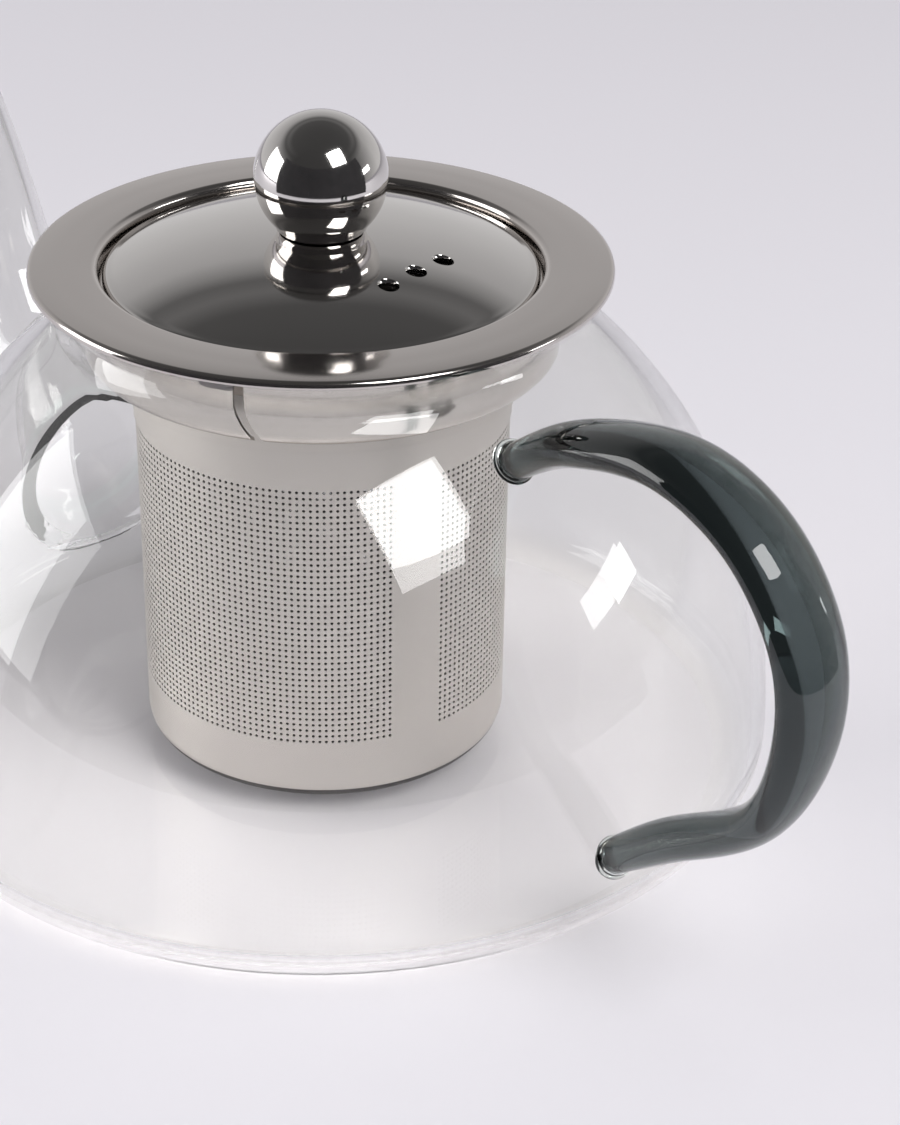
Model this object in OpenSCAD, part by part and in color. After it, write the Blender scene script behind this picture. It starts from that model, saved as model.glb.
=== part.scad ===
// Blown glass teapot with a lift-out strainer and a domed steel lid.
// Origin: centre of the flat foot, on the table. +Z up, handle towards +X, spout towards -X.

/* [Glass body] */
// Widest outside diameter of the body
body_d = 142.6; // [130:0.2:172]
// Height of the widest point above the table
belly_h = 7; // [5:0.5:10]
// Height of the dome's ellipse above the widest point
dome_h = 80.5; // [72:0.5:97]
// Diameter of the flat foot
foot_d = 126; // [100:1:128]
// Thickness of the blown wall
glass_t = 2.2; // [1.6:0.1:3]
// Thickness of the floor
floor_t = 2.8; // [2:0.1:4]
// Inside diameter of the neck
neck_id = 70.8; // [60:0.2:80]
// Height of the neck's rim above the dome's shoulder
neck_h = 7.5; // [5:0.1:12]

/* [Spout] */
// Height at which the spout's axis leaves the body
spout_h = 25; // [20:0.5:32]
// Rise of the spout's axis where it leaves the body, in degrees
spout_rise = 30; // [20:1:40]
// Outside diameter of the spout at its root
spout_root_d = 30; // [24:0.5:34]
// Outside diameter of the spout at its tip
spout_tip_d = 14; // [11:0.5:18]
// How far the spout's tip stands out beyond the body
spout_reach = 42; // [34:1:52]
// Height of the spout's tip above the table
spout_tip_h = 83; // [72:1:96]
// Thickness of the spout's wall
spout_t = 1.8; // [1.2:0.1:2.4]

/* [Handle] */
// How far the handle's centre line stands out beyond the body
handle_reach = 34.8; // [28:0.5:45]
// Height of the handle's upper joint on the body
handle_top_h = 68; // [60:0.5:76]
// Height of the handle's lower joint on the body
handle_low_h = 14; // [10:0.5:24]
// Width of the handle's strap at its middle
handle_w = 12.8; // [9:0.2:18]
// Thickness of the handle's strap
handle_t = 6.6; // [5:0.2:9]
// Diameter of the handle's ends, where it is fused on
handle_end_d = 5.4; // [4:0.2:7]

/* [Welds] */
// Width of the clear glass fillet round each joint
weld_w = 2.6; // [1.5:0.1:4]
// Gap that keeps fused glass pieces apart as solids
weld_gap = 0.05; // [0.02:0.01:0.1]

/* [Strainer] */
// Outside diameter of the strainer's wide rim
flange_d = 88; // [84:0.5:100]
// Thickness of the spun steel sheet
sheet_t = 0.6; // [0.4:0.05:0.8]
// Gap between the lid's edge and the wall of the recess
lid_gap = 0.6; // [0.3:0.1:1.2]
// Depth of the recess that the lid sits in
recess_h = 3.3; // [2.5:0.1:5]
// Gap between the basket and the spring band round it
basket_gap = 5.75; // [4:0.05:12]
// Height of the basket's underside above the table
basket_low_h = 4.8; // [4:0.2:20]
// Thickness of the basket's perforated wall
basket_t = 0.4; // [0.3:0.05:0.6]
// Radius of the basket's bottom edge
basket_edge_r = 3; // [2:0.5:6]
// Gap between sheet pieces that slide into each other
sheet_gap = 0.1; // [0.05:0.05:0.2]

/* [Spring collar] */
// Gap between the collar and the inside of the neck
collar_gap = 0.4; // [0.3:0.05:0.8]
// Thickness of the spring band
collar_t = 0.55; // [0.4:0.05:0.8]
// Height of the spring band
collar_h = 13.3; // [9:0.1:16]
// How far the band's lower edge curls inwards
collar_curl = 1.5; // [1:0.1:3]
// Width of the slit in the spring band
slit_w = 1.5; // [0.8:0.1:3]

/* [Lid] */
// Height of the lid's dome above its edge
lid_rise = 6.1; // [3:0.1:9]
// Diameter of a steam hole
steam_d = 3; // [2:0.1:4]
// Distance of the straight row of steam holes from the lid's centre
steam_r = 18.6; // [12:0.2:22]
// Number of steam holes
steam_n = 3; // [1:1:6]
// Distance between two steam holes
steam_step = 6.2; // [4:0.1:9]
// Clearance of the lid's skirt inside the basket
skirt_gap = 0.8; // [0.5:0.1:1.5]
// Depth of the skirt below the recess floor
skirt_h = 3.5; // [2:0.5:8]

/* [Knob] */
// Diameter of the ball knob
knob_d = 20.2; // [16:0.2:26]
// Diameter of the flat foot of the ball
knob_foot_d = 13; // [10:0.2:14]
// Thickness of the pressed shells
knob_t = 0.9; // [0.6:0.1:1.4]
// Thread diameter of the knob's screw
screw_d = 4; // [3:0.5:5]

/* [Hidden] */
$fn = 96;

body_r = body_d / 2;
neck_ir = neck_id / 2;
neck_or = neck_ir + glass_t;
rim_h = belly_h + dome_h * sqrt(1 - pow(neck_or / body_r, 2)) + neck_h;
arc_steps = 16;             // straight pieces in the long arcs of the glass
corner_steps = 8;           // straight pieces in a small rounded corner
tube_sides = 28;            // sides of the swept glass pieces
fit = 0.05;                 // running clearance of the screw
rest_gap = 0.05;            // gap under the strainer's rim, where it rests on the neck

flange_top = rim_h + rest_gap + sheet_t;
flange_mid = flange_top - sheet_t / 2;
flange_r = flange_d / 2;
flange_lip = 0.7;           // how far the rim's outer edge is rolled down
collar_or = neck_ir - collar_gap;
collar_ir = collar_or - collar_t;
recess_or = collar_ir - 0.35;
recess_ir = recess_or - sheet_t;
recess_floor = flange_top - recess_h;
lid_r = recess_ir - lid_gap;
basket_r = collar_ir - basket_gap;
throat_r = basket_r + sheet_gap + sheet_t / 2;
throat_low = recess_floor - 6.5;
basket_top = recess_floor - 2.4;
collar_top = flange_top - 2 * sheet_t;

lid_edge_h = recess_floor + 1.5;
lid_cap_r = (pow(lid_r, 2) + pow(lid_rise, 2)) / (2 * lid_rise);
lid_cap_z = lid_edge_h + lid_rise - lid_cap_r;
skirt_r = basket_r - basket_t - skirt_gap;
steam_turn = 12;            // where the row of steam holes sits, from +X towards +Y
knob_r = knob_d / 2;
knob_base = lid_cap_z + lid_cap_r + sheet_t / 2 + 0.02;
knob_mid = knob_base + sqrt(pow(knob_r, 2) - pow(knob_foot_d / 2 - 0.5, 2));
washer_t = 0.8;
head_h = 2.2;

// ---- curves ----------------------------------------------------------------

// Points of an elliptical arc, from angle a0 to angle a1
function arc(c, rx, ry, a0, a1, n = corner_steps) =
    [for (i = [0 : n]) let (a = a0 + (a1 - a0) * i / n) c + [rx * cos(a), ry * sin(a)]];

// Angle at which a dome of half widths a and b has shrunk to radius r
function dome_angle(a, r) = acos(r / a);

function reversed(p) = [for (i = [len(p) - 1 : -1 : 0]) p[i]];
function unit(v) = v / norm(v);

// Left-hand normal of a flat polyline at point i
function bend(p, i) =
    let (a = unit(p[min(i + 1, len(p) - 1)] - p[min(i, len(p) - 2)]),
         b = unit(p[max(i, 1)] - p[max(i - 1, 0)]),
         s = unit(a + b))
    [-s.y, s.x] / max(0.4, a * s);

// A polyline moved sideways by d
function beside(p, d) =
    [for (i = [0 : len(p) - 1]) let (q = p[i] + bend(p, i) * d) [max(0, q.x), q.y]];

// Sheet metal of thickness t spun along a profile
module spun(profile, t) {
    rotate_extrude() polygon(concat(beside(profile, t / 2), reversed(beside(profile, -t / 2))));
}

// ---- swept glass ------------------------------------------------------------

// Catmull-Rom curve through the points p
function at(p, s) =
    let (n = len(p) - 1, k = min(floor(s * n), n - 1), u = s * n - k,
         a = p[max(k - 1, 0)], b = p[k], c = p[k + 1], d = p[min(k + 2, n)])
    0.5 * (2 * b + (c - a) * u + (2 * a - 5 * b + 4 * c - d) * u * u
        + (3 * b - a - 3 * c + d) * u * u * u);

// Direction of the curve's centre line, which lies in the XZ plane
function way(p, s) =
    let (e = 0.002, v = at(p, min(s + e, 1)) - at(p, max(s - e, 0)))
    unit([v[0], 0, v[1]]);

// One ring of the sweep: each control point is [x, z, half width, half thickness]
function ring(p, s, grow = 0, sides = tube_sides) =
    let (c = at(p, s), t = way(p, s), n = [-t.z, 0, t.x])
    [for (i = [0 : sides - 1])
        let (a = 360 * i / sides)
        [c[0], 0, c[1]] + [0, (c[2] + grow) * cos(a), 0] + n * (c[3] + grow) * sin(a)];

// A point moved along direction t until it lies on the body's dome
function on_dome(q, t, gap = weld_gap) =
    let (a = body_r + gap, b = dome_h + gap, z = q.z - belly_h,
         k2 = (t.x * t.x + t.y * t.y) / (a * a) + t.z * t.z / (b * b),
         k1 = 2 * ((q.x * t.x + q.y * t.y) / (a * a) + z * t.z / (b * b)),
         k0 = (q.x * q.x + q.y * q.y) / (a * a) + z * z / (b * b) - 1,
         root = sqrt(k1 * k1 - 4 * k2 * k0))
    q + t * (-k1 + (t * [q.x, q.y, 0] > 0 ? root : -root)) / (2 * k2);

function ring_on_dome(p, s, grow = 0, gap = weld_gap) =
    [for (q = ring(p, s, grow)) on_dome(q, way(p, s), gap)];

// A ring of a piece that leaves the dome at the path's end e: near the dome it follows the
// dome's surface, and over the path's next stretch lean it turns square to the path
function leaning(p, s, e, lean, grow = 0) =
    let (far = norm([at(p, s)[0] - at(p, e)[0], at(p, s)[1] - at(p, e)[1]]),
         out = way(p, e) * (e == 0 ? far : -far), w = min(1, abs(s - e) / lean),
         low = ring_on_dome(p, e, grow), high = ring(p, s, grow))
    [for (i = [0 : len(high) - 1]) (low[i] + out) * (1 - w) + high[i] * w];

// A solid that joins a list of rings; a closed list makes a hollow loop
module skin(rings, loop = false) {
    n = len(rings[0]);
    m = len(rings);
    walls = [for (k = [0 : loop ? m - 1 : m - 2], i = [0 : n - 1])
        let (a = k * n, b = ((k + 1) % m) * n, j = (i + 1) % n)
        each [[a + i, a + j, b + i], [a + j, b + j, b + i]]];
    ends = loop ? [] : [[for (i = [n - 1 : -1 : 0]) i], [for (i = [0 : n - 1]) (m - 1) * n + i]];
    polyhedron([for (r = rings) each r], concat(walls, ends), convexity = 6);
}

// Clear fillet round the end of a swept piece, between its side and the dome. Its rings
// are the sweep's own: step is 1 / steps at the path's start and -1 / steps at its end.
module weld(p, step, rings, lean) {
    e = step > 0 ? 0 : 1;
    inner = [for (k = [0 : rings]) leaning(p, e + step * k, e, lean, weld_gap)];
    low = ring_on_dome(p, e, weld_w);
    waist = 0.38 * low + 0.38 * inner[rings] + 0.24 * inner[0];
    loop = concat(inner, [waist, low]);
    skin(step > 0 ? loop : reversed(loop), true);
}

// ---- glass ------------------------------------------------------------------

// Outline of the dome, corner and neck at distance inset from the outside
function vessel_outline(inset, neck_r, low_z) =
    let (a = body_r - inset, b = dome_h - inset, corner = (body_d - foot_d) / 2)
    concat([[0, low_z]],
           arc([a - corner, belly_h], corner, belly_h - low_z, -90, 0),
           arc([0, belly_h], a, b, 180 / arc_steps, dome_angle(a, neck_r), arc_steps));

module glass_body() {
    bead = glass_t / 2;
    color("lightcyan", 0.35)
    difference() {
        rotate_extrude()
        polygon(concat(vessel_outline(0, neck_or, 0),
                       arc([neck_ir + bead, rim_h - bead], bead, bead, 0, 180),
                       reversed(vessel_outline(glass_t, neck_ir, floor_t))));
        spout_bore();
    }
}

tip_r = body_r + spout_reach;
root_dir = [-cos(spout_rise), 0, sin(spout_rise)];
root_at = on_dome([-body_r * 0.8, 0, spout_h - body_r * 0.2 * tan(spout_rise)], root_dir, 0);

// Control points of the spout, from inside the body to the tip
function spout_path(shrink) =
    let (r0 = spout_root_d / 2, r1 = spout_tip_d / 2, lift = spout_tip_h - root_at.z,
         out = tip_r + root_at.x,
         start = root_at + root_dir * 10,
         step = [[0.39, 0.2, 0.56], [0.555, 0.39, 0.78], [0.665, 0.61, 0.9],
                 [0.81, 0.82, 0.98], [1, 1, 1]],
         ends = [[root_at.x, root_at.z, 0], [start.x, start.z, 0.28]],
         rest = [for (k = step) [root_at.x - out * k[0], root_at.z + lift * k[1], k[2]]])
    [for (k = concat(ends, rest)) let (r = r0 + (r1 - r0) * k[2] - shrink) [k[0], k[1], r, r]];

spout_steps = 22;
spout_lean = 0.25;

module spout_bore() {
    translate(root_at - root_dir * 12)
    rotate([0, -90 + spout_rise, 0])
    cylinder(r = spout_root_d / 2 - spout_t, h = 24);
}

module spout() {
    outside = spout_path(0);
    inside = spout_path(spout_t);
    color("lightcyan", 0.35)
    skin(concat([for (k = [0 : spout_steps]) leaning(outside, k / spout_steps, 0, spout_lean)],
                [for (k = [spout_steps : -1 : 0]) leaning(inside, k / spout_steps, 0, spout_lean)]),
         true);
}

module spout_weld() {
    color("honeydew", 0.5) weld(spout_path(0), 1 / spout_steps, 2, spout_lean);
}

// Control points of the handle, from the upper joint round to the lower one
function handle_path() =
    let (out = body_r + handle_reach, w = handle_w / 2, t = handle_t / 2, e = handle_end_d / 2,
         up = body_r * sqrt(1 - pow((handle_top_h - belly_h) / dome_h, 2)),
         low = body_r * sqrt(1 - pow((handle_low_h - belly_h) / dome_h, 2)),
         h = handle_top_h - handle_low_h)
    [[up, handle_top_h, e, e],
     [up + 13, handle_top_h + h * 0.15, w * 0.85, t * 0.98],
     [out * 0.74, handle_top_h + h * 0.24, w, t],
     [out * 0.89, handle_top_h + h * 0.165, w, t],
     [out * 0.986, handle_top_h - h * 0.05, w * 0.96, t],
     [out * 0.996, handle_top_h - h * 0.325, w * 0.88, t],
     [out * 0.93, handle_top_h - h * 0.61, w * 0.68, t * 0.94],
     [low + 10, handle_low_h + h * 0.155, w * 0.6, t],
     [low, handle_low_h, e, e]];

handle_steps = 40;
handle_lean = 0.05;

module handle() {
    p = handle_path();
    color("darkslategray", 0.85)
    skin([for (k = [0 : handle_steps])
        leaning(p, k / handle_steps, k < handle_steps / 2 ? 0 : 1, handle_lean)]);
}

module handle_upper_weld() {
    color("honeydew", 0.5) weld(handle_path(), 1 / handle_steps, 1, handle_lean);
}

module handle_lower_weld() {
    color("honeydew", 0.5) weld(handle_path(), -1 / handle_steps, 1, handle_lean);
}

// ---- strainer ---------------------------------------------------------------

module strainer_flange() {
    m = sheet_t / 2;
    corner = 0.8;
    edge = flange_r - m;
    wall_r = recess_or - m;
    floor_z = recess_floor - m;
    color("darkgray")
    spun(concat([[edge, flange_mid - flange_lip]],
                arc([edge - corner / 2, flange_mid - corner / 2], corner / 2, corner / 2, 0, 90, 4),
                arc([wall_r + corner, flange_mid - corner], corner, corner, 90, 180),
                arc([wall_r - corner, floor_z + corner], corner, corner, 0, -90),
                arc([throat_r + corner, floor_z - corner], corner, corner, 90, 180),
                [[throat_r, throat_low]]), sheet_t);
}

module basket_wall() {
    low = basket_low_h + basket_edge_r + 1;
    color("silver")
    translate([0, 0, low])
    difference() {
        cylinder(r = basket_r, h = basket_top - low);
        translate([0, 0, -1]) cylinder(r = basket_r - basket_t, h = basket_top - low + 2);
    }
}

module basket_base() {
    m = basket_t / 2;
    r = basket_r - m;
    z = basket_low_h + m;
    color("silver")
    spun(concat([[0, z]],
                arc([r - basket_edge_r, z + basket_edge_r], basket_edge_r, basket_edge_r, -90, 0),
                [[r, basket_low_h + basket_edge_r + 1]]), basket_t);
}

module spring_collar() {
    m = collar_t / 2;
    r = collar_or - m;
    low = collar_top - collar_h;
    curl_h = 2;
    color("gainsboro")
    difference() {
        spun(concat([[r, collar_top]], arc([r - collar_curl, low + curl_h], collar_curl, curl_h, 0, -78)),
             collar_t);
        rotate([0, 0, -55])
        translate([0, -slit_w / 2, low - 1])
        cube([collar_or + 1, slit_w, collar_h + 2]);
    }
}

// ---- lid --------------------------------------------------------------------

// Height of the lid's middle surface at radius r
function lid_z(r) = lid_cap_z + sqrt(pow(lid_cap_r, 2) - r * r);

module lid_dome() {
    m = sheet_t / 2;
    edge = lid_r - m;
    roll = 0.7;
    hole = screw_d / 2 + fit;
    color("silver")
    difference() {
        spun(concat([for (k = [0 : arc_steps]) let (r = hole + (edge - roll - hole) * k / arc_steps)
                        [r, lid_z(r)]],
                    arc([edge - roll, lid_z(edge - roll) - roll], roll, roll, 60, 0, 4),
                    [[edge, recess_floor + 0.1]]), sheet_t);
        for (k = [0 : steam_n - 1])
            rotate([0, 0, steam_turn])
            translate([steam_r, (k - (steam_n - 1) / 2) * steam_step, recess_floor])
            cylinder(d = steam_d, h = 2 * lid_rise + 4, $fn = 32);
    }
}

module lid_skirt() {
    low = recess_floor - skirt_h;
    high = lid_z(skirt_r) - sheet_t / 2 - fit;
    color("silver")
    translate([0, 0, low])
    difference() {
        cylinder(r = skirt_r, h = high - low);
        translate([0, 0, -1]) cylinder(r = skirt_r - sheet_t, h = high - low + 2);
    }
}

// ---- knob -------------------------------------------------------------------

module knob_upper_shell() {
    r = knob_r - knob_t / 2;
    color("silver")
    spun(arc([0, knob_mid], r, r, 0, 90, arc_steps), knob_t);
}

module knob_lower_shell() {
    m = knob_t / 2;
    r = knob_r - m - 0.15;
    foot = knob_base + m;
    seat = -asin((knob_mid - foot - 0.8) / r);
    color("silver")
    spun(concat([[screw_d / 2 + fit + 0.01, foot], [knob_foot_d / 2 - m, foot]],
                arc([0, knob_mid - 0.05], r, r, seat, 0, arc_steps)), knob_t);
}

module knob_nut() {
    color("dimgray")
    translate([0, 0, knob_base + knob_t + fit])
    difference() {
        cylinder(d = 1.9 * screw_d, h = screw_d, $fn = 6);
        translate([0, 0, -1]) cylinder(r = screw_d / 2 + fit, h = screw_d + 2);
    }
}

module knob_washer() {
    color("dimgray")
    translate([0, 0, lid_z(screw_d) - sheet_t / 2 - washer_t - fit])
    difference() {
        cylinder(r = screw_d, h = washer_t);
        translate([0, 0, -1]) cylinder(r = screw_d / 2 + fit, h = washer_t + 2);
    }
}

module knob_screw() {
    under = lid_z(screw_d) - sheet_t / 2 - washer_t - 2 * fit;
    tip = knob_base + knob_t + screw_d + 1;
    color("dimgray") {
        translate([0, 0, under]) cylinder(d = screw_d, h = tip - under);
        difference() {
            translate([0, 0, under - head_h]) cylinder(d = 1.8 * screw_d, h = head_h);
            translate([-screw_d, -0.5, under - head_h - 1]) cube([2 * screw_d, 1, 2]);
        }
    }
}

glass_body();
spout();
spout_weld();
handle();
handle_upper_weld();
handle_lower_weld();
strainer_flange();
basket_wall();
basket_base();
spring_collar();
lid_dome();
lid_skirt();
knob_upper_shell();
knob_lower_shell();
knob_nut();
knob_screw();
knob_washer();
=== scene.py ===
"""Blown glass teapot: the looks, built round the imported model."""
import math

import bpy
from mathutils import Matrix, Vector


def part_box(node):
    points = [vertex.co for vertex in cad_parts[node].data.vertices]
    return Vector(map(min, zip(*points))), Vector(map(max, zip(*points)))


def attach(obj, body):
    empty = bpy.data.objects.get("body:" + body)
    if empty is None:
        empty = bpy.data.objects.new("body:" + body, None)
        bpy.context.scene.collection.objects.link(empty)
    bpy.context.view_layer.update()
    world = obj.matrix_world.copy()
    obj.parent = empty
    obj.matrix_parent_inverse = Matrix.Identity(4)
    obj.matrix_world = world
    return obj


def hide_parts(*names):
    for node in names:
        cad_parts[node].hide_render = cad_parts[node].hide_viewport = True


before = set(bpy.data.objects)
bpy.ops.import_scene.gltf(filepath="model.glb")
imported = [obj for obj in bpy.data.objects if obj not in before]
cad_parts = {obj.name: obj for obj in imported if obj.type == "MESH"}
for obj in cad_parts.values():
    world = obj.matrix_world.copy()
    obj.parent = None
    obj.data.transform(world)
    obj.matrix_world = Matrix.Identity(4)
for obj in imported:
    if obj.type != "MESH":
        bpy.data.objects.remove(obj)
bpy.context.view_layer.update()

MM = 0.001

# ---------------------------------------------------------------- sizes, in millimetres

BODY_R, BELLY_Z, DOME_H = 71.3, 7.0, 80.5      # the dome is an ellipse above the belly
FOOT_R, GLASS_T, FLOOR_T = 63.0, 2.2, 2.8
NECK_R, NECK_IN, RIM_Z = 37.6, 35.4, 82.9
NECK_BLEND, NECK_RISE = 4.0, 3.6               # how far the dome's turn into the neck reaches out and up
BEAD_LOW, BEAD_HIGH = 0.9, 3.4                 # the spout's bead, off the dome
HANDLE_BEAD_W, HANDLE_BEAD_H = 0.9, 1.6        # the beads at the handle's ends
FLANGE_R, SHEET_T = 44.0, 0.6
FLANGE_TOP = 83.55
RECESS_R, RECESS_FLOOR = 33.8, 80.25           # middle of the recess's wall, top of its floor
THROAT_R, THROAT_LOW = 29.1, 73.75
COLLAR_R, COLLAR_T, COLLAR_TOP, COLLAR_H = 35.0, 0.55, 82.35, 13.3
BASKET_R, BASKET_T, BASKET_LOW, BASKET_TOP = 28.7, 0.4, 4.8, 77.85
BASKET_EDGE = 3.0
SLIT_TURN, SLIT_W = -55.5, 1.6                  # where the spring band is slit, in degrees, and how wide
COLUMNS_ROUND, ROWS = 182, 44                  # places for holes round the wall, and rows of them
SEAM_COLUMNS = 8                               # columns left plain along the seam
SEAM_START = -15.3                             # degrees, where the plain band begins
HOLE_R, HOLES_LOW = 0.25, 15.3
LID_R, LID_RISE, LID_EDGE_Z = 32.9, 6.1, 81.75
STEAM_ROW, STEAM_D, STEAM_GAP, STEAM_TURN = 18.6, 3.0, 6.2, 12.0   # a straight row of three holes
COUNTERSINK = 0.5                              # how much wider a steam hole is at its mouth, each side
SCREW_HOLE_R = 2.05
KNOB_R, KNOB_FOOT_R, KNOB_T, KNOB_SEAM = 10.1, 6.9, 0.9, 4.0


def box_mm(node):
    low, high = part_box(node)
    return low / MM, high / MM


KNOB_BASE = box_mm("knob_lower_shell")[0].z
KNOB_MID = box_mm("knob_upper_shell")[0].z
LID_FLATNESS = 0.8                             # share of the lid's fall that is an even curve


def lid_z(r):
    """Height of the lid's middle surface: flatter at its centre and rounder towards its edge."""
    u = (r / LID_R) ** 2
    return LID_EDGE_Z + LID_RISE * (1 - LID_FLATNESS * u - (1 - LID_FLATNESS) * u * u)


# ---------------------------------------------------------------- curves

def arc(cx, cz, rx, rz, start, end, steps=8):
    """Points of an elliptical arc between two angles in degrees."""
    out = []
    for i in range(steps + 1):
        a = math.radians(start + (end - start) * i / steps)
        out.append((cx + rx * math.cos(a), cz + rz * math.sin(a)))
    return out


def blend_curve(a, b, c, steps=8):
    """Points of a smooth curve from a to c that bends towards b, without its ends."""
    out = []
    for i in range(1, steps):
        u = i / steps
        out.append(tuple((1 - u) ** 2 * p + 2 * u * (1 - u) * q + u * u * r for p, q, r in zip(a, b, c)))
    return out


def beside(points, d):
    """The polyline moved sideways by d, to its left."""
    out = []
    for i, p in enumerate(points):
        a = Vector(points[max(i, 1)]) - Vector(points[max(i, 1) - 1])
        b = Vector(points[min(i + 1, len(points) - 1)]) - Vector(points[min(i, len(points) - 2)])
        side = (a.normalized() + b.normalized()).normalized()
        scale = d / max(0.4, a.normalized().dot(side))
        out.append((max(0.0, p[0] - side.y * scale), p[1] + side.x * scale))
    return out


def sheet_outline(points, t):
    """A closed outline with rounded ends round a line of sheet metal."""
    left, right = beside(points, t / 2), beside(points, -t / 2)
    ends = []
    for here, back in ((points[-1], points[-2]), (points[0], points[1])):
        way = (Vector(here) - Vector(back)).normalized() * t * 0.3
        ends.append((here[0] + way.x, here[1] + way.y))
    first = [] if points[-1][0] < 0.01 else [ends[0]]
    last = [] if points[0][0] < 0.01 else [ends[1]]
    return left + first + right[::-1] + last


def along(points, s):
    """A Catmull-Rom curve through points of any width, at s from 0 to 1."""
    n = len(points) - 1
    k = min(int(s * n), n - 1)
    u = s * n - k
    around = (points[max(k - 1, 0)], points[k], points[k + 1], points[min(k + 2, n)])
    return [0.5 * (2 * b + (c - a) * u + (2 * a - 5 * b + 4 * c - d) * u * u
                   + (3 * b - a - 3 * c + d) * u ** 3)
            for a, b, c, d in zip(*around)]


# ---------------------------------------------------------------- modelling helpers

def start(name, adder, **settings):
    """Adds a primitive with nothing else selected and opens it in edit mode, all selected."""
    bpy.ops.object.select_all(action="DESELECT")
    adder(**settings)
    piece = bpy.context.object
    piece.name = piece.data.name = name
    bpy.ops.object.mode_set(mode="EDIT")
    bpy.ops.mesh.select_mode(type="VERT")
    bpy.ops.mesh.select_all(action="SELECT")
    return piece


def draw_out(way):
    """Extrudes what is selected by a step in mm."""
    bpy.ops.mesh.extrude_region_move(TRANSFORM_OT_translate={"value": [step * MM for step in way]})


def finish_mesh(piece, merge=0.002, crease=35.0):
    """Merges points closer than this many mm, turns the faces outwards, leaves edit mode and shades."""
    bpy.ops.mesh.select_all(action="SELECT")
    bpy.ops.mesh.remove_doubles(threshold=merge * MM)
    bpy.ops.mesh.normals_make_consistent(inside=False)
    bpy.ops.object.mode_set(mode="OBJECT")
    shade(piece, crease)
    return piece


def settle(piece):
    """Puts the object's place into its mesh."""
    bpy.ops.object.select_all(action="DESELECT")
    piece.select_set(True)
    bpy.context.view_layer.objects.active = piece
    bpy.ops.object.transform_apply(location=True, rotation=True, scale=True)


def shade(piece, crease=None):
    """Shades a piece smooth, and leaves the edges sharper than the crease, in degrees, where it is given."""
    settle(piece)
    if crease is None:
        bpy.ops.object.shade_smooth()
    else:
        bpy.ops.object.shade_smooth_by_angle(angle=math.radians(crease))


def modify(piece, kind, **settings):
    """Adds a modifier and applies it."""
    settle(piece)
    mod = piece.modifiers.new(kind.title(), kind)
    for key, value in settings.items():
        setattr(mod, key, value)
    bpy.ops.object.modifier_apply(modifier=mod.name)


def turned(name, outline, steps=192, closed=True, crease=35.0, sweep=360.0, ends=False):
    """A turned piece: a point is drawn out along the outline in mm, then spun about the pot's axis.

    A sweep below zero spins counter-clockwise seen from above, and ends fills the ends of a part turn.
    """
    piece = start(name, bpy.ops.mesh.primitive_plane_add, size=MM)
    bpy.ops.mesh.merge(type="CENTER")
    x, z = outline[0]
    bpy.ops.transform.translate(value=(x * MM, 0, z * MM))
    for px, pz in outline[1:] + (outline[:1] if closed else []):
        draw_out((px - x, 0, pz - z))
        x, z = px, pz
    bpy.ops.mesh.select_all(action="SELECT")
    if ends:
        bpy.ops.mesh.edge_face_add()
    bpy.ops.mesh.spin(steps=steps, angle=math.radians(sweep), center=(0, 0, 0), axis=(0, 0, 1))
    return finish_mesh(piece, crease=crease)


def swept(name, path, stations, sides):
    """A disc drawn out along a path in the XZ plane, whose points are [x, z, half width, half thickness]."""
    def place(s):
        before, after = along(path, max(s - 0.002, 0)), along(path, min(s + 0.002, 1))
        return along(path, s), math.atan2(after[0] - before[0], after[1] - before[1])

    piece = start(name, bpy.ops.mesh.primitive_circle_add, vertices=sides, radius=MM, fill_type="NGON")
    rings = [place(i / stations) for i in range(stations + 1)]
    for _ in range(stations):
        draw_out((0, 0, 1))
    bpy.ops.object.mode_set(mode="OBJECT")
    for v in piece.data.vertices:
        (x, z, wide, thick), turn = rings[min(stations, round(v.co.z / MM))]
        local = Matrix.Rotation(turn, 3, "Y") @ Vector((v.co.x * thick, v.co.y * wide, 0))
        v.co = local + Vector((x * MM, 0, z * MM))
    bpy.ops.object.mode_set(mode="EDIT")
    return finish_mesh(piece)


def cut(piece, tool, how="DIFFERENCE"):
    """Cuts a piece with a closed tool, which is then thrown away."""
    modify(piece, "BOOLEAN", operation=how, object=tool, solver="EXACT")
    bpy.data.objects.remove(tool)


def turn_about_axis(piece, degrees):
    settle(piece)
    piece.data.transform(Matrix.Rotation(math.radians(degrees), 4, "Z"))


# ---------------------------------------------------------------- finishes

class Wire:
    """A socket that takes part in sums: each sign adds a Math node."""

    def __init__(self, finish, socket):
        self.finish, self.socket = finish, socket

    def sum(self, operation, a, b):
        return self.finish.node("ShaderNodeMath", {"operation": operation}, [a, b])

    def __add__(self, other):
        return self.sum("ADD", self, other)

    def __radd__(self, other):
        return self.sum("ADD", other, self)

    def __sub__(self, other):
        return self.sum("SUBTRACT", self, other)

    def __rsub__(self, other):
        return self.sum("SUBTRACT", other, self)

    def __mul__(self, other):
        return self.sum("MULTIPLY", self, other)

    def __rmul__(self, other):
        return self.sum("MULTIPLY", other, self)

    def __truediv__(self, other):
        return self.sum("DIVIDE", self, other)

    def __pow__(self, other):
        return self.sum("POWER", self, other)


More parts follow.
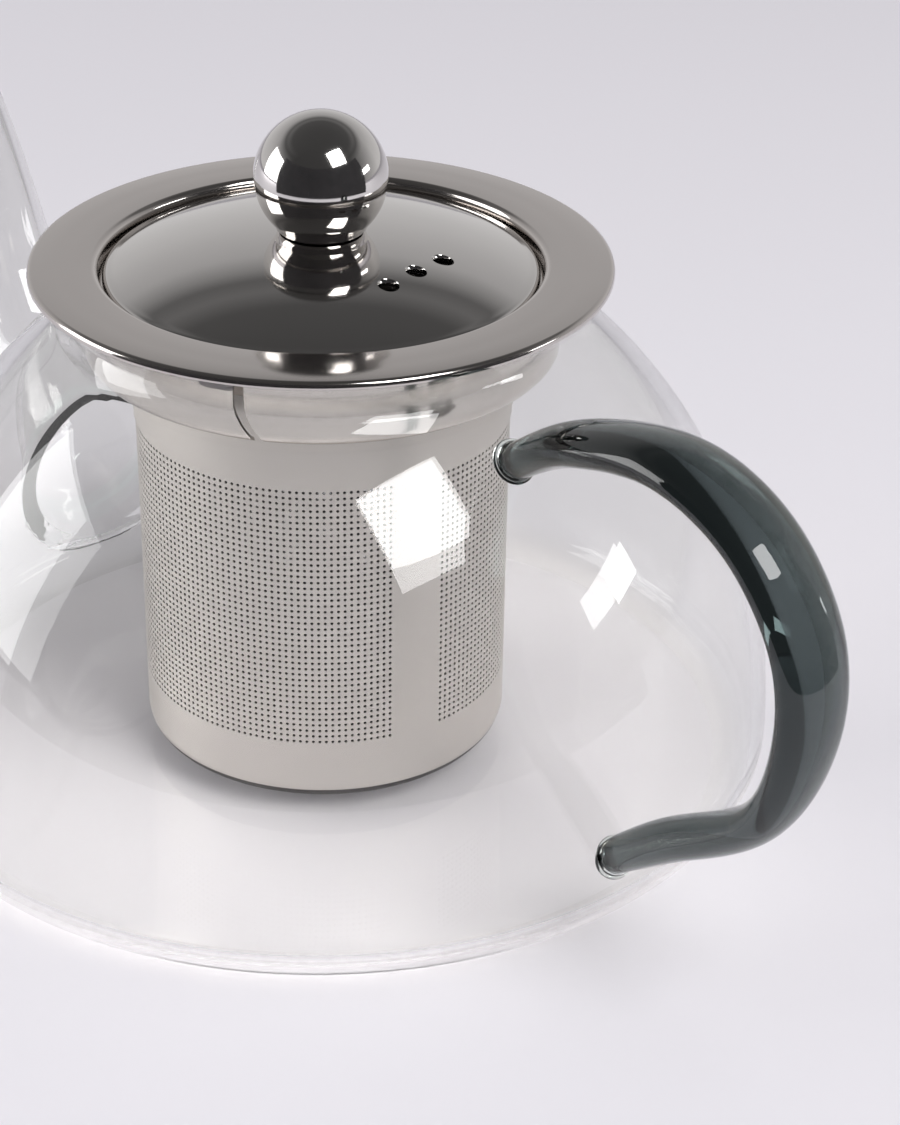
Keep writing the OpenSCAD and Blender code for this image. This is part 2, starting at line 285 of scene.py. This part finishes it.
class Finish:
    """A material with one Principled shader, whose plain numbers are set on its own sockets."""

    def __init__(self, name, **plain):
        self.name, self.material = name, bpy.data.materials.new(name)
        self.material.use_nodes = True
        self.tree = self.material.node_tree
        self.tree.nodes.clear()
        self.shader = self.tree.nodes.new("ShaderNodeBsdfPrincipled")
        for key, value in plain.items():
            self.shader.inputs[key.replace("_", " ")].default_value = value
        self.end = self.tree.nodes.new("ShaderNodeOutputMaterial")
        self.tree.links.new(self.shader.outputs[0], self.end.inputs["Surface"])
        self.place = self.node("ShaderNodeTexCoord", {}, {}, "Object")

    def fill(self, socket, value):
        if isinstance(value, Wire):
            self.tree.links.new(value.socket, socket)
        elif value is not None:
            socket.default_value = value

    def node(self, kind, settings, inputs, output=0):
        made = self.tree.nodes.new(kind)
        for key, value in settings.items():
            setattr(made, key, value)
        pairs = inputs.items() if isinstance(inputs, dict) else enumerate(inputs)
        for key, value in pairs:
            self.fill(made.inputs[key], value)
        return Wire(self, made.outputs[output])

    def noise(self, scale, detail=2.0, rough=0.5, at=None):
        return self.node("ShaderNodeTexNoise", {}, {"Vector": at or self.place, "Scale": scale,
                                                    "Detail": detail, "Roughness": rough})

    def split(self):
        made = self.tree.nodes.new("ShaderNodeSeparateXYZ")
        self.tree.links.new(self.place.socket, made.inputs[0])
        return [Wire(self, made.outputs[i]) for i in range(3)]

    def radius(self):
        x, y, _ = self.split()
        return (x * x + y * y) ** 0.5

    def compare(self, operation, value, limit):
        """1 where the value is LESS_THAN or GREATER_THAN the limit, and 0 elsewhere."""
        return self.node("ShaderNodeMath", {"operation": operation}, [value, limit])

    def window(self, turn, half_turn, height, half_height):
        """1 inside a patch with round corners on a turned wall, in degrees round it and mm of height."""
        x, y, z = self.split()
        round_it = self.node("ShaderNodeMath", {"operation": "ARCTAN2"}, [y, x])
        across = (round_it - math.radians(turn)) / math.radians(half_turn)
        up = (z - height * MM) / (half_height * MM)
        return self.compare("LESS_THAN", (across ** 2) ** 3 + (up ** 2) ** 3, 1.0)

    def squeezed(self, x, y, z):
        """The place with each direction stretched by its own factor, for drawn-out grain."""
        return self.node("ShaderNodeMapping", {}, {"Vector": self.place, "Scale": (x, y, z)})

    def rings(self, scale, detail=1.0, rough=0.5):
        """Fine turning marks round the pot's axis."""
        out = self.node("ShaderNodeCombineXYZ", {}, [self.radius(), 0.0, 0.0])
        return self.noise(scale, detail, rough, out)

    def mix(self, factor, a, b):
        """The colour a where the factor is 0 and b where it is 1."""
        return self.node("ShaderNodeMix", {"data_type": "RGBA"}, {0: factor, 6: a, 7: b}, 2)

    def drive(self, **wires):
        for key, value in wires.items():
            self.fill(self.shader.inputs[key.replace("_", " ")], value)

    def bump(self, height, strength, distance):
        self.drive(Normal=self.node("ShaderNodeBump", {}, {"Height": height, "Strength": strength,
                                                           "Distance": distance}))

    def let_lamps_through(self, tint):
        """Lamps shine through the glass with this tint, as they do through a thin wall."""
        self.clear_for("Is Shadow Ray", tint)

    def clear_for(self, kind, tint):
        """Makes the piece a plain tinted filter for one kind of ray, named as on the Light Path node."""
        ray = self.node("ShaderNodeLightPath", {}, {}, kind)
        clear = self.node("ShaderNodeBsdfTransparent", {}, {"Color": (*tint, 1)})
        both = self.node("ShaderNodeMixShader", {}, [ray, Wire(self, self.shader.outputs[0]), clear])
        self.tree.links.new(both.socket, self.end.inputs["Surface"])


def clear_glass():
    f = Finish("clear_glass", Transmission_Weight=1.0, IOR=1.47, Roughness=0.0)
    f.drive(Base_Color=f.mix(f.noise(9.0, 1.0), (0.935, 0.934, 0.926, 1), (0.905, 0.91, 0.902, 1)))
    f.bump(f.noise(24.0, 1.0), 0.12, 0.0004)
    f.let_lamps_through((0.94, 0.932, 0.92))
    return f


def weld_glass():
    f = Finish("weld_glass", Transmission_Weight=1.0, IOR=1.47, Roughness=0.0)
    f.drive(Base_Color=f.mix(f.noise(160.0, 2.0), (0.96, 0.985, 0.97, 1), (0.88, 0.95, 0.91, 1)))
    f.bump(f.noise(180.0, 2.0), 0.3, 0.0006)
    f.let_lamps_through((0.97, 0.985, 0.98))
    return f


def smoked_glass():
    f = Finish("smoked_glass", Transmission_Weight=1.0, IOR=1.5, Roughness=0.0)
    f.drive(Base_Color=f.mix(f.noise(30.0, 2.0), (0.40, 0.45, 0.45, 1), (0.34, 0.39, 0.39, 1)))
    smoke = f.tree.nodes.new("ShaderNodeVolumeAbsorption")
    smoke.inputs["Color"].default_value, smoke.inputs["Density"].default_value = (0.04, 0.10, 0.10, 1), 200.0
    f.tree.links.new(smoke.outputs[0], f.end.inputs["Volume"])
    f.bump(f.noise(40.0, 1.0), 0.15, 0.0004)
    f.let_lamps_through((0.2, 0.22, 0.225))
    return f


def polished_steel():
    f = Finish("polished_steel", Metallic=1.0)
    lines = f.rings(2600.0)
    smears = f.noise(45.0, 3.0, 0.6)
    f.drive(Base_Color=f.mix(smears, (0.70, 0.68, 0.66, 1), (0.62, 0.605, 0.59, 1)),
            Roughness=0.035 + smears * 0.05 + lines * 0.02)
    f.bump(lines, 0.05, 0.00002)
    return f


def satin_steel():
    f = Finish("satin_steel", Metallic=1.0)
    rings = f.rings(5200.0, 2.0, 0.7)
    clouds = f.noise(30.0, 3.0)
    # painted shade: outside the recess and below the collar's top, the underside of the flange's rolled lip
    # is painted nearly black
    outside = f.compare("GREATER_THAN", f.radius(), (RECESS_R + 0.05) * MM)
    below = f.compare("LESS_THAN", f.split()[2], (COLLAR_TOP + 0.1) * MM)
    steel = f.mix(clouds, (0.60, 0.565, 0.54, 1), (0.54, 0.51, 0.49, 1))
    f.drive(Base_Color=f.mix(outside * below, steel, (0.05, 0.048, 0.045, 1)),
            Roughness=0.06 + rings * 0.07 + clouds * 0.03)
    f.bump(rings, 0.12, 0.00003)
    return f


def strainer_steel():
    f = Finish("strainer_steel", Metallic=1.0)
    grain = f.noise(900.0, 3.0, 0.6, at=f.squeezed(0.08, 0.08, 1.0))
    clouds = f.noise(38.0, 3.0)
    # painted shade: inside the middle of the sheet, the basket's inner face is painted nearly black, standing
    # in for the dark inside of the closed basket
    inside = f.compare("LESS_THAN", f.radius(), (BASKET_R - BASKET_T / 2) * MM)
    f.drive(Base_Color=f.mix(inside, f.mix(clouds, (0.72, 0.69, 0.65, 1), (0.64, 0.61, 0.575, 1)),
                             (0.10, 0.095, 0.09, 1)),
            Roughness=0.34 + grain * 0.16 + clouds * 0.05)
    f.bump(grain, 0.1, 0.00003)
    return f


def spring_steel():
    f = Finish("spring_steel", Metallic=1.0)
    wave = f.noise(26.0, 1.0)
    marks = f.noise(500.0, 3.0, 0.7, at=f.squeezed(0.2, 0.2, 1.0))
    patch = f.window(SLIT_TURN - 5.4, 4.6, COLLAR_TOP - 2.8, 2.3)
    steel = f.mix(wave, (0.72, 0.69, 0.645, 1), (0.64, 0.61, 0.57, 1))
    f.drive(Base_Color=f.mix(patch, steel, (0.2, 0.19, 0.19, 1)),
            Roughness=0.05 + marks * 0.08 + patch * 0.15)
    f.bump(wave, 0.3, 0.0006)
    return f


def plain_steel():
    f = Finish("plain_steel", Metallic=1.0)
    marks = f.noise(700.0, 3.0, 0.7)
    f.drive(Base_Color=f.mix(marks, (0.5, 0.49, 0.48, 1), (0.38, 0.375, 0.37, 1)),
            Roughness=0.25 + marks * 0.2)
    f.bump(marks, 0.2, 0.00003)
    return f


def studio_paper():
    f = Finish("studio_paper", Roughness=0.75)
    f.drive(Base_Color=f.mix(f.noise(3.0, 3.0), (0.80, 0.785, 0.825, 1), (0.785, 0.77, 0.81, 1)))
    f.bump(f.noise(900.0, 2.0), 0.05, 0.0001)
    return f


def dark_cloth():
    f = Finish("dark_cloth", Roughness=0.9)
    f.drive(Base_Color=f.mix(f.noise(12.0, 3.0), (0.05, 0.048, 0.05, 1), (0.03, 0.03, 0.032, 1)))
    f.clear_for("Transmission Depth", (1, 1, 1))
    return f


FINISHES = {f.name: f.material for f in (
    clear_glass(), weld_glass(), smoked_glass(), polished_steel(), satin_steel(), strainer_steel(),
    spring_steel(), plain_steel(), studio_paper(), dark_cloth())}


def dress(piece, finish, body=None, stands_for=()):
    """Gives a piece its finish, and where it is a new one, its body and the nodes it stands for."""
    piece.data.materials.clear()
    piece.data.materials.append(FINISHES[finish])
    if body:
        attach(piece, body)
    if stands_for:
        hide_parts(*stands_for)


# ---------------------------------------------------------------- glass

def vessel_line(inset, neck_r):
    """The dome from the corner to the neck, at this distance inside the outer face."""
    a, b = BODY_R - inset, DOME_H - inset
    join = math.degrees(math.acos((neck_r + NECK_BLEND) / a))
    dome = arc(0, BELLY_Z, a, b, 1.5, join, 44)
    corner_z = BELLY_Z + b * math.sqrt(1 - (neck_r / a) ** 2)
    return dome + blend_curve(dome[-1], (neck_r, corner_z), (neck_r, corner_z + NECK_RISE), 7)


def blown_body():
    corner = BODY_R - FOOT_R
    bead = GLASS_T / 2
    outside = arc(FOOT_R, BELLY_Z, corner, BELLY_Z, -90, 0, 10) + vessel_line(0, NECK_R)
    lip = arc(NECK_IN + bead, RIM_Z - bead, bead, bead, 0, 180, 8)
    inner_corner = arc(FOOT_R - GLASS_T, BELLY_Z, corner, BELLY_Z - FLOOR_T, -90, 0, 10)
    inside = inner_corner + vessel_line(GLASS_T, NECK_IN)
    halfway = FOOT_R * 0.5
    outline = [(0, 0), (halfway, 0)] + outside + lip + inside[::-1] + [(halfway, FLOOR_T), (0, FLOOR_T)]
    return turned("blown_body", outline, steps=256, closed=False)


SPOUT_ROOT = Vector((-69.3, 0, 25))
DOME_SLANT = 11.5                              # rise of the dome's normal at the spout's root, in degrees
# the spout and its bore as [x, z, radius], and the handle as [x, z, half width, half thickness]
SPOUT_PATH = [[-60.6, 20, 20], [-68.6, 24.6, 17], [-73.2, 27.2, 14.3], [-79, 30.7, 12.6],
              [-86.6, 36.6, 10.5], [-93.9, 47.6, 8.8], [-98.8, 60.4, 7.8], [-105.2, 72.6, 7.2],
              [-113.3, 83.0, 7]]
SPOUT_BORE = [[-57.5, 18.2, 15.2], [-63, 21.4, 15], [-68.6, 24.6, 14.4], [-73.2, 27.2, 12.3],
              [-79, 30.7, 10.8], [-86.6, 36.6, 8.7], [-93.9, 47.6, 7], [-98.8, 60.4, 6],
              [-105.2, 72.6, 5.4], [-113.3, 83.0, 5.2], [-115.6, 85.6, 5.6]]
HANDLE_PATH = [[45.6, 67.6, 2.7, 2.7], [59.2, 76.1, 5.44, 3.23], [78.5, 81, 6.4, 3.3], [94.4, 76.9, 6.4, 3.3],
               [104.6, 65.3, 6.14, 3.3], [105.7, 50.45, 5.63, 3.3], [98.7, 35.1, 4.35, 3.1],
               [81.2, 22.4, 3.84, 3.3], [70.2, 13.6, 2.7, 2.7]]


def tube(name, path):
    """A solid round rod along a path of [x, z, radius]."""
    rod = swept(name, [[x, z, r, r] for x, z, r in path], 40, 56)
    modify(rod, "SUBSURF", levels=1, render_levels=1)
    return rod


def between(piece, name, low=None, high=None):
    """A copy of the fused glass, kept between two planes across the spout's root, in mm off the root."""
    copy = piece.copy()
    copy.data = piece.data.copy()
    copy.name = copy.data.name = name
    bpy.context.scene.collection.objects.link(copy)
    settle(copy)
    normal = Vector((-math.cos(math.radians(DOME_SLANT)), 0, math.sin(math.radians(DOME_SLANT))))
    bpy.ops.object.mode_set(mode="EDIT")
    for height, side in ((low, "clear_inner"), (high, "clear_outer")):
        if height is not None:
            bpy.ops.mesh.select_all(action="SELECT")
            bpy.ops.mesh.bisect(plane_co=(SPOUT_ROOT + normal * height) * MM, plane_no=normal, **{side: True})
    bpy.ops.object.mode_set(mode="OBJECT")
    return copy


def fused_glass():
    """Body and spout as one blown shell, then parted by name where the spout leaves the dome."""
    shell, rod = blown_body(), tube("spout_rod", SPOUT_PATH)
    middle = GLASS_T / 2
    top = DOME_H * 0.8 + BELLY_Z
    wall = [p for p in vessel_line(middle, NECK_IN) if p[1] < top]
    keep_out = turned("keep_out", [(0, 3), (60, 3)] + wall + [(0, top)], closed=False)
    cut(rod, keep_out)
    cut(shell, rod, "UNION")
    cut(shell, tube("bore", SPOUT_BORE))
    shade(shell, 50)
    parts = [between(shell, "blown_body", high=BEAD_LOW), between(shell, "spout_bead", BEAD_LOW, BEAD_HIGH),
             between(shell, "spout_tube", BEAD_HIGH)]
    bpy.data.objects.remove(shell)
    return parts


def smoked_handle():
    strap = swept("smoked_handle", HANDLE_PATH, 48, 28)
    modify(strap, "SUBSURF", levels=1, render_levels=1)
    shade(strap)
    return strap


def fused_bead(name, end):
    """A clear fillet of glass round the handle's joint at this end of its path, 0 or 1: a flared ring."""
    wide, tall = HANDLE_BEAD_W, HANDLE_BEAD_H
    here = along(HANDLE_PATH, end)
    next_to = along(HANDLE_PATH, 0.02 if end == 0 else 0.98)
    way = Vector((next_to[0] - here[0], 0, next_to[1] - here[1])).normalized()
    r, sunk = here[2], -0.8
    waist = (r + wide * 0.55, tall * 0.3)
    outline = [(r - 0.3, sunk)] + blend_curve((r + wide, sunk), (r + wide * 0.9, tall * 0.15), waist, 4)
    outline += blend_curve(waist, (r + 0.25, tall * 0.5), (r + 0.1, tall), 5)
    outline += [(r - 0.3, tall * 1.02)]
    bead = turned(name, outline, steps=64, crease=60)
    bead.data.transform(Matrix.Translation(Vector((here[0], 0, here[1])) * MM)
                        @ way.to_track_quat("Z", "Y").to_matrix().to_4x4())
    modify(bead, "SUBSURF", levels=1, render_levels=1)
    shade(bead)
    return bead


def make_glass():
    body, bead, spout = fused_glass()
    dress(body, "clear_glass", "pot", ["glass_body"])
    dress(bead, "weld_glass", "pot", ["spout_weld"])
    dress(spout, "clear_glass", "pot", ["spout"])
    dress(smoked_handle(), "smoked_glass", "pot", ["handle"])
    dress(fused_bead("handle_top_bead", 0), "weld_glass", "pot", ["handle_upper_weld"])
    dress(fused_bead("handle_foot_bead", 1), "weld_glass", "pot", ["handle_lower_weld"])


# ---------------------------------------------------------------- strainer

def strainer_rim():
    mid = FLANGE_TOP - SHEET_T / 2
    edge, floor = FLANGE_R - SHEET_T / 2, RECESS_FLOOR - SHEET_T / 2
    roll, bend = 0.5, 0.8
    line = [(edge, mid - roll * 1.5)] + arc(edge - roll, mid - roll, roll, roll, 0, 90, 5)
    line += [(edge - 4, mid), (RECESS_R + 4, mid)]
    line += arc(RECESS_R + bend, mid - bend, bend, bend, 90, 180, 8)
    line += arc(RECESS_R - bend, floor + bend, bend, bend, 0, -90, 8)
    line += arc(THROAT_R + bend, floor - bend, bend, bend, 90, 180, 8)
    line += [(THROAT_R, THROAT_LOW)]
    return turned("strainer_rim", sheet_outline(line, SHEET_T), steps=256)


PITCH = 2 * BASKET_R * math.tan(math.pi / COLUMNS_ROUND)
STEP_ROUND = 360 / COLUMNS_ROUND
MEETS = {"use_merge_vertices": True, "merge_threshold": 0.02 * MM}     # copies of a cell join where they meet


def punched_sector(name, first, count):
    """A sector of the basket's wall: one punched cell, repeated up a column and then round the wall."""
    half = PITCH / 2
    cell = start(name, bpy.ops.mesh.primitive_circle_add, vertices=8, radius=HOLE_R * MM)
    bpy.ops.mesh.extrude_region_move()
    bpy.ops.transform.resize(value=(half / HOLE_R, half / HOLE_R, 1))
    bpy.ops.object.mode_set(mode="OBJECT")
    for v in cell.data.vertices:
        if v.co.length > HOLE_R * MM * 1.05 and abs(abs(v.co.x) - abs(v.co.y)) < 0.01 * MM:
            v.co = Vector((math.copysign(half, v.co.x), math.copysign(half, v.co.y), 0)) * MM
    cell.rotation_euler = (math.radians(90), 0, math.radians(90))
    cell.location = (BASKET_R * MM, 0, (HOLES_LOW + half) * MM)
    settle(cell)
    modify(cell, "ARRAY", count=ROWS, use_relative_offset=False, use_constant_offset=True,
           constant_offset_displace=(0, 0, PITCH * MM), **MEETS)
    turner = bpy.data.objects.new("turner", None)
    bpy.context.scene.collection.objects.link(turner)
    turner.rotation_euler = (0, 0, math.radians(STEP_ROUND))
    bpy.context.view_layer.update()
    modify(cell, "ARRAY", count=count, use_relative_offset=False, use_object_offset=True,
           offset_object=turner, **MEETS)
    bpy.data.objects.remove(turner)
    turn_about_axis(cell, SEAM_START + (first + 0.5) * STEP_ROUND)
    bpy.ops.object.mode_set(mode="EDIT")
    finish_mesh(cell, 0.01, 60)
    face = max(cell.data.polygons, key=lambda p: p.area)
    if Vector((face.center.x, face.center.y)).dot(Vector((face.normal.x, face.normal.y))) < 0:
        bpy.ops.object.mode_set(mode="EDIT")
        bpy.ops.mesh.select_all(action="SELECT")
        bpy.ops.mesh.flip_normals()
        bpy.ops.object.mode_set(mode="OBJECT")
    modify(cell, "SOLIDIFY", thickness=BASKET_T * MM, offset=-1)
    shade(cell, 50)
    return cell


def plain_sheet(name, low, high, **how):
    """Unpunched sheet of the basket's wall between two heights, turned from where the plain strip begins."""
    inner = BASKET_R - BASKET_T
    sheet = turned(name, [(BASKET_R, low), (BASKET_R, high), (inner, high), (inner, low)], **how)
    turn_about_axis(sheet, SEAM_START)
    return sheet


def basket_bottom():
    m = BASKET_T / 2
    r, z = BASKET_R - m, BASKET_LOW + m
    line = [(0.0, z), (r * 0.5, z)]
    line += arc(r - BASKET_EDGE, z + BASKET_EDGE, BASKET_EDGE, BASKET_EDGE, -90, 0, 10) + [(r, HOLES_LOW)]
    left, right = beside(line, m), beside(line, -m)
    return turned("basket_bottom", left + right[::-1], steps=COLUMNS_ROUND, closed=False)


def split_band():
    """The spring band, with its slit curling to one side at the foot."""
    m = COLLAR_T / 2
    r, low, curl, curl_h = COLLAR_R - m, COLLAR_TOP - COLLAR_H, 1.5, 2.0
    line = [(r, COLLAR_TOP), (r, COLLAR_TOP - 4), (r, low + 5)]
    line += arc(r - curl, low + curl_h, curl, curl_h, 0, -78, 7)
    band = turned("split_band", sheet_outline(line, COLLAR_T), steps=256)
    knife = start("knife", bpy.ops.mesh.primitive_cube_add, size=MM)
    bpy.ops.transform.resize(value=(6, SLIT_W, 0.1))
    bpy.ops.transform.translate(value=((COLLAR_R - 1) * MM, 0, (COLLAR_TOP + 1) * MM))
    bpy.ops.mesh.select_mode(type="FACE")
    bpy.ops.mesh.select_all(action="DESELECT")
    bpy.ops.object.mode_set(mode="OBJECT")
    for face in knife.data.polygons:
        face.select = face.normal.z < -0.5
    bpy.ops.object.mode_set(mode="EDIT")
    for across, down in ((0, -8.6), (0.25, -1.4), (0.7, -1.6), (1.0, -1.6), (1.0, -2.6)):
        draw_out((0, across, down))
    finish_mesh(knife)
    turn_about_axis(knife, SLIT_TURN)
    cut(band, knife)
    shade(band, 35)
    return band


def make_strainer():
    dress(strainer_rim(), "satin_steel", "strainer", ["strainer_flange"])
    punched = COLUMNS_ROUND - SEAM_COLUMNS
    share = punched // 3
    sectors = [punched_sector(f"punched_sheet_{i + 1}", SEAM_COLUMNS + i * share, share) for i in range(3)]
    high = HOLES_LOW + ROWS * PITCH
    strip = plain_sheet("seam_strip", HOLES_LOW, high, steps=SEAM_COLUMNS, sweep=-SEAM_COLUMNS * STEP_ROUND,
                        ends=True)
    for piece in sectors + [strip, plain_sheet("basket_top_band", high, BASKET_TOP, steps=COLUMNS_ROUND)]:
        dress(piece, "strainer_steel", "strainer", ["basket_wall"])
    dress(basket_bottom(), "strainer_steel", "strainer", ["basket_base"])
    dress(split_band(), "spring_steel", "collar", ["spring_collar"])


# ---------------------------------------------------------------- lid and knob

def lid_cap():
    edge, roll = LID_R - SHEET_T / 2, 0.9
    radii = [SCREW_HOLE_R + (edge - roll - SCREW_HOLE_R) * i / 40 for i in range(41)]
    line = [(r, lid_z(r)) for r in radii]
    z = line[-1][1]
    line += arc(edge - roll, z - roll, roll, roll, 66, 0, 7) + [(edge, RECESS_FLOOR + 0.12)]
    cap = turned("lid_cap", sheet_outline(line, SHEET_T), steps=256)
    for side in (-1, 0, 1):
        away = math.hypot(STEAM_ROW, STEAM_GAP * side)
        top = lid_z(away) + SHEET_T / 2
        r = STEAM_D / 2
        for low, high, r_low, r_high in ((-6, 6, r, r), (-0.12, 0.6, r, r + COUNTERSINK)):
            punch = start("punch", bpy.ops.mesh.primitive_cone_add, vertices=48, radius1=r_low * MM,
                          radius2=r_high * MM, depth=(high - low) * MM)
            bpy.ops.object.mode_set(mode="OBJECT")
            punch.location = (STEAM_ROW * MM, STEAM_GAP * side * MM, (top + (low + high) / 2) * MM)
            settle(punch)
            turn_about_axis(punch, STEAM_TURN)
            cut(cap, punch)
    shade(cap, 35)
    return cap


def knob_cap():
    r = KNOB_R - KNOB_T / 2
    line = arc(0, KNOB_MID, r, r, 90, KNOB_SEAM, 32)
    left, right = beside(line, KNOB_T / 2), beside(line, -KNOB_T / 2)
    return turned("knob_cap", left + right[::-1], steps=160, closed=False)


def knob_cup():
    r, m = KNOB_R - KNOB_T / 2 - 0.15, KNOB_T / 2
    foot = KNOB_BASE + m
    seat = -math.degrees(math.asin((KNOB_MID - foot - 0.8) / r))
    line = [(SCREW_HOLE_R + 0.05, foot), (KNOB_FOOT_R - m - 0.3, foot), (KNOB_FOOT_R - m, foot + 0.3)]
    line += arc(0, KNOB_MID - 0.05, r, r, seat, KNOB_SEAM, 24)
    return turned("knob_cup", sheet_outline(line, KNOB_T), steps=160)


def make_lid():
    dress(lid_cap(), "polished_steel", "lid", ["lid_dome"])
    dress(knob_cap(), "polished_steel", "lid", ["knob_upper_shell"])
    dress(knob_cup(), "polished_steel", "lid", ["knob_lower_shell"])
    dress(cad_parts["lid_skirt"], "satin_steel")
    for node in ("knob_nut", "knob_screw", "knob_washer"):
        dress(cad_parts[node], "plain_steel")


# ---------------------------------------------------------------- studio

HANDLE_TURN = 54.0                             # degrees from the camera's right round to the handle
CAMERA_BACK, CAMERA_UP = 389.5, 248.0          # mm from the pot's axis and above the table
CAMERA_PITCH, CAMERA_YAW, CAMERA_ROLL = 29.1, 2.929, 0.854
LENS, SENSOR = 89.6, 36.0
FLOOR_RISE = 0.05                              # the foot presses into the paper by this much
CURTAIN_R, CURTAIN_LOW, CURTAIN_TOP = 300, 10, 300
CURTAIN_START, CURTAIN_SWEEP = -168, 156       # degrees from the camera's right, along the near side


def studio_direction(turn, rise):
    """A direction by its turn from the camera's right and its rise, both in degrees."""
    a, e = math.radians(turn + HANDLE_TURN), math.radians(rise)
    return Vector((math.cos(a) * math.cos(e), math.sin(a) * math.cos(e), math.sin(e)))


def softbox(name, turn, rise, away, wide, high, power):
    """A soft lamp that faces the pot, with its distance and its sides in metres and its power in watts."""
    light = bpy.data.lights.new(name, "AREA")
    light.shape, light.size, light.size_y = "RECTANGLE", wide, high
    light.energy = power
    lamp = bpy.data.objects.new(name, light)
    bpy.context.scene.collection.objects.link(lamp)
    way = studio_direction(turn, rise)
    lamp.location = way * away + Vector((0, 0, 0.06))
    lamp.rotation_euler = way.to_track_quat("Z", "Y").to_euler()


def make_studio():
    floor = start("studio_floor", bpy.ops.mesh.primitive_plane_add, size=9.0)
    bpy.ops.mesh.subdivide(number_cuts=4)
    bpy.ops.transform.translate(value=(0, 0, FLOOR_RISE * MM))
    finish_mesh(floor)
    dress(floor, "studio_paper")
    dark_side()
    softbox("front_box", turn=-50, rise=50, away=1.3, wide=0.56, high=0.56, power=9.6)
    softbox("left_box", turn=175, rise=15, away=1.3, wide=0.8, high=0.72, power=8)
    softbox("right_box", turn=-5, rise=13, away=1.4, wide=0.46, high=0.15, power=1.8)
    studio_air()


def dark_side():
    """A dark curtain on the near side, which shows only as the dark part of what the steel mirrors."""
    line = [(CURTAIN_R, CURTAIN_LOW), (CURTAIN_R, CURTAIN_TOP)]
    curtain = turned("dark_curtain", line, steps=48, closed=False, sweep=-CURTAIN_SWEEP)
    turn_about_axis(curtain, CURTAIN_START + HANDLE_TURN)
    dress(curtain, "dark_cloth")
    for kind in ("camera", "diffuse", "transmission", "shadow"):
        setattr(curtain, "visible_" + kind, False)


def studio_air():
    """The air: even for what it lights, but in mirrors bright low behind the pot and dark elsewhere."""
    world = bpy.data.worlds.new("studio_air")
    bpy.context.scene.world = world
    world.use_nodes = True
    tree = world.node_tree
    tree.nodes.clear()

    def node(kind, **settings):
        made = tree.nodes.new(kind)
        for key, value in settings.items():
            setattr(made, key, value)
        return made

    def curve(socket, stops):
        ramp = node("ShaderNodeValToRGB")
        while len(ramp.color_ramp.elements) < len(stops):
            ramp.color_ramp.elements.new(0.5)
        for element, (position, level) in zip(ramp.color_ramp.elements, stops):
            element.position, element.color = position, (level, level * 0.985, level * 0.99, 1)
        tree.links.new(socket, ramp.inputs[0])
        return ramp.outputs[0]

    coord, split = node("ShaderNodeTexCoord"), node("ShaderNodeSeparateXYZ")
    tree.links.new(coord.outputs["Generated"], split.inputs[0])
    away = node("ShaderNodeVectorMath", operation="DOT_PRODUCT")
    tree.links.new(coord.outputs["Generated"], away.inputs[0])
    away.inputs[1].default_value = studio_direction(90, 0)
    half = node("ShaderNodeMath", operation="MULTIPLY_ADD")
    tree.links.new(away.outputs["Value"], half.inputs[0])
    half.inputs[1].default_value = half.inputs[2].default_value = 0.5
    up = split.outputs["Z"]
    behind = curve(up, [(0.0, 0.72), (0.3, 0.6), (0.52, 0.46), (0.6, 0.28), (0.65, 0.13), (0.71, 0.17),
                        (0.78, 0.09), (1.0, 0.07)])
    before = curve(up, [(0.0, 0.2), (0.25, 0.08), (0.6, 0.055), (1.0, 0.06)])
    mirrored = node("ShaderNodeMix", data_type="RGBA")
    tree.links.new(curve(half.outputs[0], [(0.3, 0.0), (0.75, 1.0)]), mirrored.inputs[0])
    tree.links.new(before, mirrored.inputs[6])
    tree.links.new(behind, mirrored.inputs[7])
    ray, air = node("ShaderNodeLightPath"), node("ShaderNodeMix", data_type="RGBA")
    direct = node("ShaderNodeMath", operation="SUBTRACT", use_clamp=True)
    tree.links.new(ray.outputs["Is Glossy Ray"], direct.inputs[0])
    tree.links.new(ray.outputs["Transmission Depth"], direct.inputs[1])
    tree.links.new(direct.outputs[0], air.inputs[0])
    air.inputs[6].default_value = (0.47, 0.46, 0.475, 1)
    tree.links.new(mirrored.outputs[2], air.inputs[7])
    back, out = node("ShaderNodeBackground"), node("ShaderNodeOutputWorld")
    tree.links.new(air.outputs[2], back.inputs["Color"])
    tree.links.new(back.outputs[0], out.inputs["Surface"])


def make_camera():
    """The camera stands in front of the pot and above it, and looks down past its axis."""
    pitch, yaw, roll = (math.radians(a) for a in (CAMERA_PITCH, CAMERA_YAW, CAMERA_ROLL))
    spin = Matrix.Rotation(math.radians(HANDLE_TURN), 3, "Z")
    level = math.cos(pitch)
    ahead = spin @ Vector((math.sin(yaw) * level, math.cos(yaw) * level, -math.sin(pitch)))
    right = spin @ Vector((math.cos(yaw), -math.sin(yaw), 0))
    up = right.cross(ahead)
    right, up = (math.cos(roll) * right + math.sin(roll) * up, -math.sin(roll) * right + math.cos(roll) * up)
    camera = bpy.data.cameras.new("camera")
    camera.lens, camera.sensor_width, camera.clip_start = LENS, SENSOR, 0.01
    holder = bpy.data.objects.new("camera", camera)
    bpy.context.scene.collection.objects.link(holder)
    place = spin @ Vector((0, -CAMERA_BACK, CAMERA_UP)) * MM
    holder.matrix_world = Matrix.Translation(place) @ Matrix((right, up, -ahead)).transposed().to_4x4()
    bpy.context.scene.camera = holder


make_camera()
make_studio()
make_glass()
make_strainer()
make_lid()
bpy.context.scene.view_settings.view_transform = "Standard"
